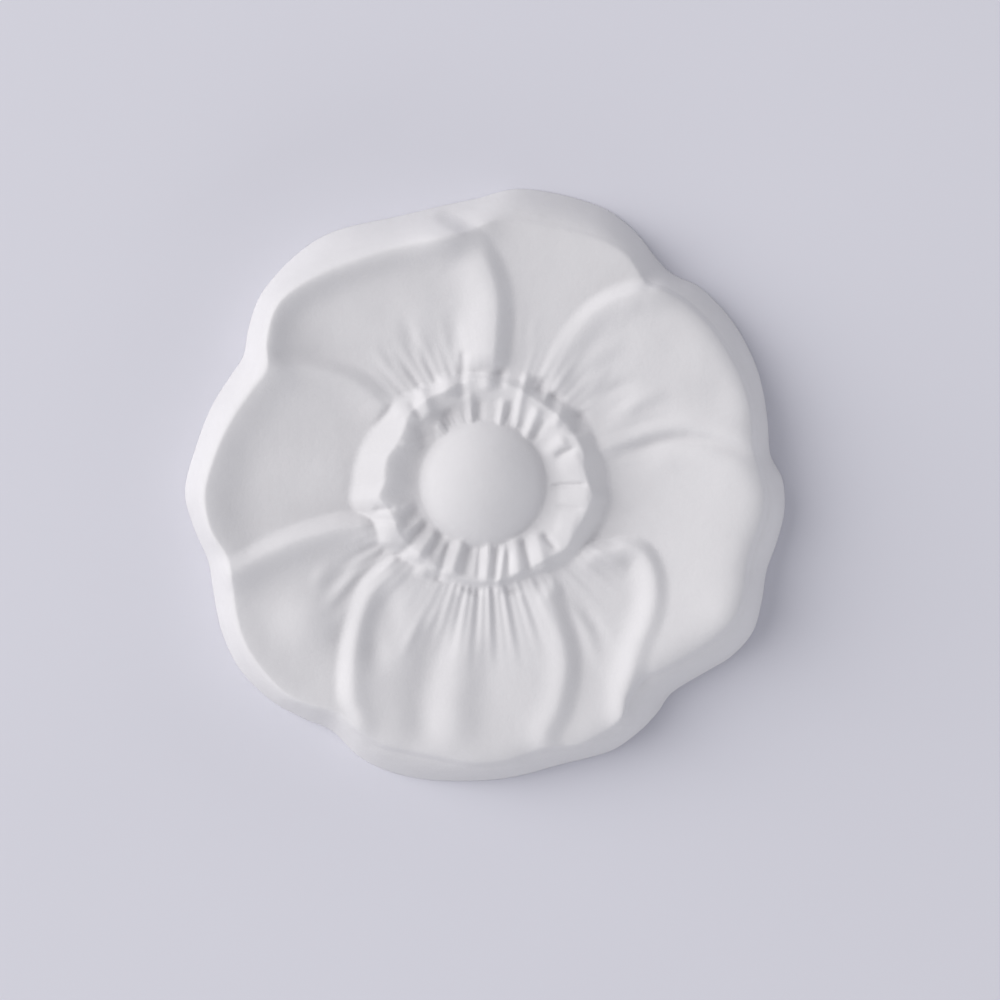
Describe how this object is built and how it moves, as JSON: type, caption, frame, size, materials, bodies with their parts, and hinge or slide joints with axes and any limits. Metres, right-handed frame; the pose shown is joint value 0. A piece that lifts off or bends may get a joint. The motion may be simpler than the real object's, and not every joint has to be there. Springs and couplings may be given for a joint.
{
  "type": "mixing palette",
  "caption": "Small flower-shaped mixing palette cast in matte white plaster, with cupped petals around a ring of stamens and a domed middle, on a flat back.",
  "frame": {"origin": "middle of the outline on the flat back", "axes": "+Z out of the flat back, through the domed middle; +Y towards the lowest petal, at the top of the flower as it was seen; +X to the right"},
  "size_m": [0.0796, 0.0788, 0.011],
  "materials": {
    "plaster": "matte"
  },
  "bodies": {
    "root": {"flower_casting": "plaster"}
  },
  "joints": []
}
